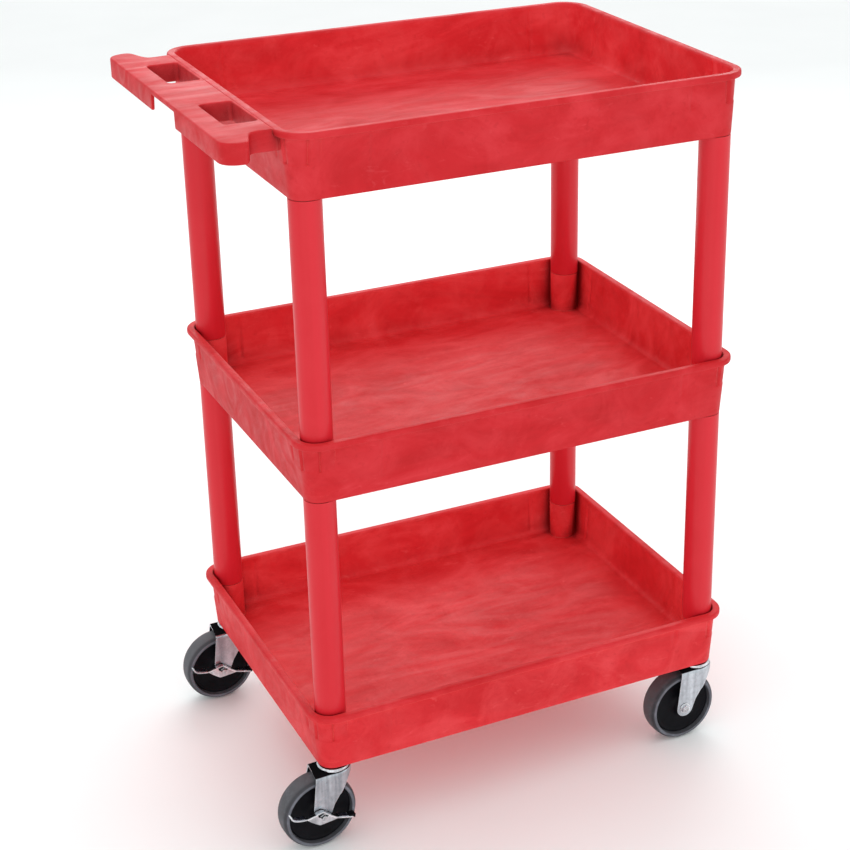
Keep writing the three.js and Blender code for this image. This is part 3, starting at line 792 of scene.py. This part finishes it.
def make_core(corner, place):
    bm = bmesh.new()
    bore = 5.4
    half = [(CORE_R, 8.2), (CORE_R - 0.5, 9.3), (CORE_R - 1.6, 9.6), (CORE_R - 3.4, 9.5), (CORE_R - 4.4, 8.6)]
    half += [(CORE_R - 6, 8.2), (30, 7.9), (24, 7.7), (19, 7.9), (16.5, 8.8), (14.6, 10.6), (13.4, 13.2)]
    half += [(12.9, 15.6), (12.3, 16.4), (11.4, 16.6), (bore + 0.6, 16.6), (bore, 16.0)]
    profile = [(r, -z) for r, z in reversed(half)] + half
    lathe(bm, profile, 96, ON_AXLE)
    bm.transform(place)
    nodes = ["wheel_core_" + corner]
    finish_piece("hub_" + corner, bm, BLACK, "wheel_" + corner, nodes, 40)


# The fork: a pressed crown with two legs, drawn as its outer surface and given its sheet thickness.

FORK = {"half": 19.2, "nose": 23.6, "sheet": 2.0, "edge": 3.0, "back": 32.0, "axle_end": 12.5, "race": 17.8}
LEG_ROWS = 14
SIDE_COUNT = 12
CROWN_DIP = 1.8

# How much nearer the stem the inner leg's rear edge stands than the outer leg's, as a share.
INNER_LEG_SHORTER = 0.13

# The lower edge of the crown's front: it rises from beside the stem to its full height at the reach.
FRONT_EDGE = {"low": 74.4, "high": 100.8, "reach": 22.0, "sharpness": 1.5}


def front_edge(ahead):
    """The height of the crown's lower edge at a distance in front of the stem."""
    rise = math.sin(math.pi / 2 * min(ahead / FRONT_EDGE["reach"], 1.0)) ** FRONT_EDGE["sharpness"]
    return FRONT_EDGE["low"] + (FRONT_EDGE["high"] - FRONT_EDGE["low"]) * rise


def fork_rail():
    """The crown's rim from the back end of one leg round the front to the back end of the other."""
    half = FORK["half"]
    rail = [(FORK["back"] * (1 - k / SIDE_COUNT), half, (0, 1)) for k in range(SIDE_COUNT)]
    nose = FORK["nose"]
    for x, y in arc(0, 0, 1, 90, 270, 28):
        size = math.hypot(x * half, y * nose)
        rail.append((x * nose, y * half, (x * half / size, y * nose / size)))
    back = FORK["back"] * (1 - INNER_LEG_SHORTER)
    rail += [(back * k / SIDE_COUNT, -half, (0, -1)) for k in range(1, SIDE_COUNT + 1)]
    return rail


def leg_foot(share):
    """The leg's lower edge: round the axle end, then up the slanting leading edge; share 0 to 1."""
    end = FORK["axle_end"]
    back = arc(TRAIL, AXLE_Z, end, 12, -152, 20)
    lead = [(TRAIL - 13.4, 56.4), (TRAIL - 17.4, 62.2), (TRAIL - 21.6, 68.4), (0.0, FRONT_EDGE["low"])]
    path = back + lead
    spot = share * (len(path) - 1)
    k = min(int(spot), len(path) - 2)
    f = spot - k
    (ax, az), (bx, bz) = path[k], path[k + 1]
    return ax + (bx - ax) * f, az + (bz - az) * f


def fork_wall_foot(index, count, x, y):
    """Where the wall under a rim point ends."""
    if index < SIDE_COUNT or index >= count - SIDE_COUNT:
        k = index if index < SIDE_COUNT else count - 1 - index
        fx, fz = leg_foot(k / SIDE_COUNT)
        return fx, math.copysign(FORK["half"], y), fz
    return x, y, front_edge(max(-x, 0.0))


def make_fork(corner, place):
    """The fork: the crown's rings out from the kingpin's hole, then the walls down to the leg feet."""
    bm = bmesh.new()
    rail = fork_rail()
    edge, half, back = FORK["edge"], FORK["half"], FORK["back"]
    hole = 6.0
    back_edge = []
    for k in range(1, 8):
        share = k / 8
        back_edge.append((back * (1 - INNER_LEG_SHORTER * (1 - share)), -half + 2 * half * share, (0, 0)))
    loop = rail + back_edge

    def inward(inset, z):
        ring = []
        for x, y, n in loop:
            px, py = x - n[0] * inset, y - n[1] * inset
            if n == (0, 0):
                py = py * (half - inset) / half
            ring.append((px, py, z))
        return ring

    def circle(radius, z):
        ring = []
        for x, y, _ in loop:
            t = math.atan2(y, x)
            ring.append((radius * math.cos(t), radius * math.sin(t), z))
        return ring

    top = CROWN_Z - 1.2
    race = FORK["race"]
    dipped = CROWN_Z - CROWN_DIP
    crown = [circle(hole, dipped), circle(hole + 3, dipped), circle(11.4, CROWN_Z - 1.5)]
    crown += [circle(13.0, CROWN_Z - 0.4), circle(14.2, CROWN_Z)]
    crown += [circle(race - 1.6, CROWN_Z), circle(race - 0.6, CROWN_Z - 0.4)]
    crown += [inward(edge - 1.0, top - 0.2)]
    for k in range(1, 4):
        t = math.radians(90 * k / 4)
        crown.append(inward((edge - 1.0) * (1 - math.sin(t)), top - 0.2 - (edge - 1.0) * (1 - math.cos(t))))
    rows = skin(bm, crown)
    count = len(rail)
    previous = rows[-1][:count]
    for r in range(1, LEG_ROWS + 1):
        f = r / LEG_ROWS
        row = []
        for i, (x, y, _) in enumerate(rail):
            fx, fy, fz = fork_wall_foot(i, count, x, y)
            z0 = top - edge + 0.8
            row.append(bm.verts.new((x + (fx - x) * f, y + (fy - y) * f, z0 + (fz - z0) * f)))
        for i in range(count - 1):
            bm.faces.new((previous[i], previous[i + 1], row[i + 1], row[i]))
        previous = row
    bm.transform(place)
    body, nodes = "caster_" + corner, ["fork_" + corner]
    piece = finish_piece("fork_plate_" + corner, bm, FORK_ZINC, body, nodes, 60)
    solidify = piece.modifiers.new("sheet", "SOLIDIFY")
    solidify.thickness = FORK["sheet"] * MM
    solidify.offset = -1
    solidify.use_even_offset = True
    bevel = piece.modifiers.new("edges", "BEVEL")
    bevel.width = 0.45 * MM
    bevel.segments = 2
    bevel.limit_method = "ANGLE"
    bevel.angle_limit = math.radians(50)


def make_swivel(corner, place):
    """The pressed cup, the balls under its rim, and the kingpin with its flange and stem."""
    z = CROWN_Z
    bm = bmesh.new()
    cup = [(5.5, z + 5.4), (16.6, z + 5.4), (18.8, z + 5.1), (20.2, z + 4.4), (20.8, z + 3.6)]
    cup += [(21.0, z + 2.8), (21.0, z + 1.6), (20.4, z + 1.3), (19.8, z + 1.8), (19.2, z + 2.8)]
    cup += [(17.6, z + 3.7), (14.0, z + 4.2), (5.5, z + 4.2)]
    lathe(bm, cup, 72)
    bm.transform(place)
    finish_piece("race_cup_" + corner, bm, ZINC, "cart_frame", ["swivel_cup_" + corner], 45)
    bm = bmesh.new()
    count = 16
    for k in range(count):
        t = 2 * math.pi * k / count
        spot = Matrix.Translation((15.8 * math.cos(t), 15.8 * math.sin(t), z + 1.75))
        bmesh.ops.create_uvsphere(bm, u_segments=14, v_segments=10, radius=1.5, matrix=spot)
    bm.transform(place)
    finish_piece("balls_" + corner, bm, STEEL, "caster_" + corner, ["ball_ring_" + corner])
    bm = bmesh.new()
    under = z - CROWN_DIP - FORK["sheet"] - 0.2
    shoulder = SHOULDER_Z - 0.6
    pin = [(0, under - 2.8), (5.6, under - 2.8), (7.4, under - 2.2), (8.0, under - 1.0), (8.0, under)]
    pin += [(5.0, under), (5.0, shoulder - 3.6), (11.2, shoulder - 3.6), (12.0, shoulder - 3.0)]
    pin += [(12.0, shoulder - 0.5), (11.4, shoulder), (5.5, shoulder), (5.5, STEM_TOP - 2)]
    pin += [(4.3, STEM_TOP), (0, STEM_TOP)]
    lathe(bm, pin, 40)
    bm.transform(place)
    finish_piece("stem_" + corner, bm, ZINC, "cart_frame", ["kingpin_" + corner], 40)
    bm = bmesh.new()
    low, high = cad_box("stem_socket_" + corner)
    lathe(bm, [(5.9, low.z), (7.4, low.z), (7.4, high.z - 0.8), (6.8, high.z), (5.9, high.z)], 40)
    bm.transform(place)
    finish_piece("grip_sleeve_" + corner, bm, STEEL, "cart_frame", ["stem_socket_" + corner], 40)


def hexagon(bm, across, y0, y1):
    """A six-sided head or nut along Y on the axle, its corners rounded off at the outer end y1."""
    step = 1 if y1 > y0 else -1
    rings = []
    rounding = ((1.0, y1 - step * 0.9), (0.93, y1 - step * 0.25), (0.84, y1))
    for share, y in ((0.0, y0), (1.0, y0), *rounding, (0.0, y1)):
        ring = []
        for k in range(24):
            t = 2 * math.pi * k / 24
            flat = math.cos(math.radians(30)) / math.cos((t + math.pi / 6) % (math.pi / 3) - math.pi / 6)
            radius = across * share * (flat if share > 0.9 else 0.86)
            ring.append(ON_AXLE @ Vector((radius * math.cos(t), radius * math.sin(t), y)))
        rings.append(ring)
    rows = skin(bm, rings)
    bmesh.ops.remove_doubles(bm, verts=rows[0] + rows[-1], dist=1e-4)


def make_axle(corner, place, brake):
    head = -FORK["half"] - 0.3
    out = 27.6 if brake else FORK["half"] + 5.7
    bm = bmesh.new()
    lathe(bm, [(0, head - 1), (3.4, head - 1), (3.4, out - 0.8), (2.7, out), (0, out)], 32, ON_AXLE)
    hexagon(bm, 6.4, head, head - 4.2)
    lathe(bm, [(0, head - 0.7), (7.6, head - 0.7), (7.8, head - 0.3), (7.8, head), (0, head)], 40, ON_AXLE)
    bm.transform(place)
    finish_piece("bolt_" + corner, bm, STEEL, "caster_" + corner, ["axle_bolt_" + corner], 35)
    bm = bmesh.new()
    if brake:
        hexagon(bm, 5.5, 20.4, 24.0)
    else:
        y = FORK["half"] + 0.3
        lathe(bm, [(3.6, y), (7.9, y), (8.0, y + 0.3), (7.6, y + 0.8), (3.6, y + 0.8)], 40, ON_AXLE)
        hexagon(bm, 6.4, y + 0.8, y + 4.4)
    bm.transform(place)
    finish_piece("nut_" + corner, bm, ZINC, "caster_" + corner, ["axle_nut_" + corner], 35)
    bm = bmesh.new()
    half = FORK["half"] - FORK["sheet"] - 0.4
    tube = [(3.7, -half), (4.6, -half), (4.9, -half + 0.4), (4.9, half - 0.4), (4.6, half), (3.7, half)]
    lathe(bm, tube, 32, ON_AXLE)
    bm.transform(place)
    finish_piece("spacer_" + corner, bm, STEEL, "caster_" + corner, ["axle_spacer_" + corner])


# The brake lever, level and about the axle: X along it, Y out from the wheel, Z up.

LEVER_TILT = 15.5
LEVER = {"inner": 16.9, "web": 24.8, "outer": 26.6, "sheet": 1.9}


def lever_path():
    """The lever's top sheet from its front pad, over the axle, to its curled rear tip."""
    path = [(-43.0, 0.5), (-38.0, 0.6), (-31.0, 0.7), (-25.0, 0.8), (-20.0, 0.9), (-16.5, 1.4)]
    path += [(-11.0, 3.6), (-4.0, 6.4), (0.0, 8.1), (2.4, 9.3), (4.4, 9.7), (6.8, 9.0), (12.0, 6.4)]
    path += [(17.0, 3.8), (21.5, 1.5), (25.0, 0.1), (28.0, -0.5), (33.0, -1.0), (37.0, -1.2), (41.0, -0.9)]
    return path + [(43.8, 0.0), (45.6, 1.3), (46.6, 2.8)]


def make_lever(corner, place):
    """The pressed brake lever: a bent top sheet, a diamond web over the axle, a curled serrated tip."""
    path = lever_path()
    sheet = LEVER["sheet"]
    inner, outer = LEVER["inner"], LEVER["outer"]
    bm = bmesh.new()
    normals = []
    for i in range(len(path)):
        (ax, az), (bx, bz) = path[max(i - 1, 0)], path[min(i + 1, len(path) - 1)]
        size = math.hypot(bx - ax, bz - az)
        normals.append((-(bz - az) / size, (bx - ax) / size))
    rings = []
    for (x, z), (nx, nz) in zip(path, normals):
        wing = ease((abs(x - 3.0) - 19.0) / 6.0)
        tip = 1 - 0.22 * ease((abs(x - 2.0) - 40.0) / 8.0)
        back = 20.6 + (inner - 20.6) * wing
        front = outer - (1 - tip) * 5
        ring = []
        for y, lift in ((back, 0.3), (back, 0.7), (back + 0.3, 1.0), (front - 0.3, 1.0), (front, 0.7),
                        (front, 0.3), (front - 0.3, 0.0), (back + 0.3, 0.0)):
            ring.append((x - nx * sheet * (1 - lift), y, z - nz * sheet * (1 - lift)))
        rings.append(ring)
    rows = skin(bm, rings)
    bm.faces.new(rows[0][::-1])
    bm.faces.new(rows[-1])
    web_plate(bm)
    lever_matrix = Matrix.Translation((TRAIL, 0, AXLE_Z)) @ Matrix.Rotation(math.radians(-LEVER_TILT), 4, "Y")
    bm.transform(place @ lever_matrix)
    body = "brake_" + corner
    finish_piece("lever_" + corner, bm, ZINC, body, ["brake_lever_" + corner], 40)
    bm = bmesh.new()
    treads(bm)
    bm.transform(place @ lever_matrix)
    finish_piece("lever_treads_" + corner, bm, BLUE_ZINC, body, [], 40)
    bm = bmesh.new()
    pad(bm)
    bm.transform(place @ lever_matrix)
    finish_piece("lever_pad_" + corner, bm, BLACK, body, [], 40)
    bm = bmesh.new()
    low = FORK["half"] + 0.3
    lathe(bm, [(3.9, low), (7.8, low), (8.0, low + 0.15), (8.0, 20.0), (3.9, 20.0)], 40, ON_AXLE)
    bm.transform(place)
    finish_piece("cam_" + corner, bm, STEEL, body, ["brake_cam_" + corner])


def web_plate(bm):
    """The diamond face under the roof of the lever, with its notch at the axle."""
    y0, y1 = LEVER["web"], LEVER["outer"]
    top = [(-19.0, -0.3), (-11.0, 2.4), (-5.4, 4.8)]
    notch = [(-3.0, 2.2), (3.2, -0.6), (9.2, 2.0)]
    right = [(11.0, 5.4), (17.0, 2.6), (25.0, -1.2)]
    bottom = [(18.0, -5.0), (10.5, -7.8), (5.8, -9.4), (4.4, -9.8), (2.8, -9.4), (-5.0, -6.6), (-13.0, -3.6)]
    outline = top + notch + right + bottom
    normals = inward_normals(outline[::-1])[::-1]
    rings = []
    for inset, y in ((0.0, y0), (0.0, y1 - 0.5), (0.35, y1 - 0.15), (0.8, y1)):
        rings.append([(x + n[0] * inset, y, z + n[1] * inset) for (x, z), n in zip(outline, normals)])
    rows = skin(bm, rings)
    for row in (rows[0], rows[-1]):
        fill_between(bm, [row])


def lever_height(x):
    """The height of the lever's top sheet at a place along it."""
    path = lever_path()
    for (ax, az), (bx, bz) in zip(path, path[1:]):
        if x <= bx:
            return az + (bz - az) * (x - ax) / (bx - ax)
    return path[-1][1]


def treads(bm):
    """The serrated treads on the lever's two wings."""
    pitch = 1.3
    for first, last in ((27.5, 44.6), (-35.0, -20.0)):
        places = [first + pitch * k for k in range(int((last - first) / pitch) + 1)]
        top = [(x, lever_height(x) + (0.95 if k % 2 else 0.25)) for k, x in enumerate(places)]
        under = [(x, lever_height(x) - 0.4) for x in reversed(places)]
        rings = []
        for y in (LEVER["inner"] + 0.3, LEVER["outer"] - 1.1):
            rings.append([(x, y, z) for x, z in top + under])
        for row in skin(bm, rings):
            fill_between(bm, [row])


def pad(bm):
    """The moulded pad on the lever's front wing."""
    y0, y1 = LEVER["inner"] - 0.2, LEVER["outer"] - 0.6
    section = [(-43.8, -1.5), (-44.3, -0.8), (-44.3, 3.0), (-43.7, 3.9)]
    section += [(-42.0, 4.0), (-38.2, 2.6), (-35.4, 1.4), (-35.0, 0.7)]
    cx, cz = -40.6, 1.4
    ends = ((0.7, 0.0), (0.15, 0.3), (0.0, 0.9))
    rings = []
    for inset, y in [(i, y0 + d) for i, d in ends] + [(i, y1 - d) for i, d in reversed(ends)]:
        ring = []
        for x, z in section:
            away = math.hypot(x - cx, z - cz)
            ring.append((x + (cx - x) / away * inset, y, z + (cz - z) / away * inset))
        rings.append(ring)
    rows = skin(bm, rings)
    bm.faces.new(rows[0][::-1])
    bm.faces.new(rows[-1])


for corner in CORNERS:
    place, _ = caster_place(corner)
    brake = "brake_lever_" + corner in frame["nodes"]
    make_tyre(corner, place)
    make_core(corner, place)
    make_fork(corner, place)
    make_swivel(corner, place)
    make_axle(corner, place, brake)
    if brake:
        make_lever(corner, place)


# ---------------------------------------------------------------- floor, light and camera

def floor_material():
    n = Nodes("studio_floor")
    cloud = n.noise(3.0, 3.0, 0.5)
    tone = n.ramp(cloud, [(0.3, (0.91, 0.94, 0.94)), (0.7, (0.93, 0.96, 0.96))])
    return n.finish(tone, n.span(cloud, 0, 1, 0.6, 0.7))


def make_floor():
    bm = bmesh.new()
    half = 6.0
    bmesh.ops.create_grid(bm, x_segments=8, y_segments=8, size=half)
    mesh = bpy.data.meshes.new("studio_floor")
    bm.to_mesh(mesh)
    bm.free()
    mesh.materials.append(floor_material())
    floor = bpy.data.objects.new("studio_floor", mesh)
    floor.location.z = FLOOR_Z
    bpy.context.scene.collection.objects.link(floor)


def make_world(strength):
    world = bpy.data.worlds.new("studio_air")
    world.use_nodes = True
    back = world.node_tree.nodes["Background"]
    back.inputs["Color"].default_value = (1.0, 1.0, 1.0, 1.0)
    back.inputs["Strength"].default_value = strength
    bpy.context.scene.world = world


def softbox(name, place, aim, width, height, watts):
    light = bpy.data.lights.new(name, "AREA")
    light.shape = "RECTANGLE"
    light.size, light.size_y = width, height
    light.energy = watts
    lamp = bpy.data.objects.new(name, light)
    lamp.location = place
    lamp.rotation_euler = (Vector(aim) - Vector(place)).to_track_quat("-Z", "Y").to_euler()
    bpy.context.scene.collection.objects.link(lamp)


# The photo's camera, solved from the cart's edges and wheels, in mm and degrees about the tubs' centre.
CAMERA = {
    "place": (TUB_X - 991.6, -2147.6, 1550.1),
    "azimuth": -26.302,
    "elevation": 23.475,
    "roll": -0.430,
    "lens": 81.14,
    "shift": (-0.0891, -0.0566),
}


def make_camera():
    a, e, roll = (math.radians(CAMERA[k]) for k in ("azimuth", "elevation", "roll"))
    back = Vector((math.sin(a) * math.cos(e), -math.cos(a) * math.cos(e), math.sin(e)))
    right = Vector((0, 0, 1)).cross(back).normalized()
    up = back.cross(right)
    x_axis = right * math.cos(roll) + up * math.sin(roll)
    y_axis = up * math.cos(roll) - right * math.sin(roll)
    data = bpy.data.cameras.new("camera")
    data.sensor_width = 36.0
    data.lens = CAMERA["lens"]
    data.shift_x, data.shift_y = CAMERA["shift"]
    data.clip_start, data.clip_end = 0.05, 50.0
    camera = bpy.data.objects.new("camera", data)
    camera.matrix_world = Matrix((x_axis, y_axis, back)).transposed().to_4x4()
    camera.location = Vector(CAMERA["place"]) * MM
    bpy.context.scene.collection.objects.link(camera)
    bpy.context.scene.camera = camera


bpy.context.scene.view_settings.view_transform = "Standard"
make_floor()
make_world(1.0)
softbox("key", (-1.6, -2.9, 1.3), (0, 0, 0.5), 2.0, 1.3, 14)
softbox("fill", (2.6, -1.8, 0.9), (0, 0, 0.45), 1.6, 1.2, 4)
softbox("back", (1.2, 2.4, 2.1), (0, 0, 0.7), 2.6, 1.5, 28)
softbox("top", (-0.3, 0.2, 3.2), (0, 0, 0.5), 2.0, 2.0, 10)
make_camera()
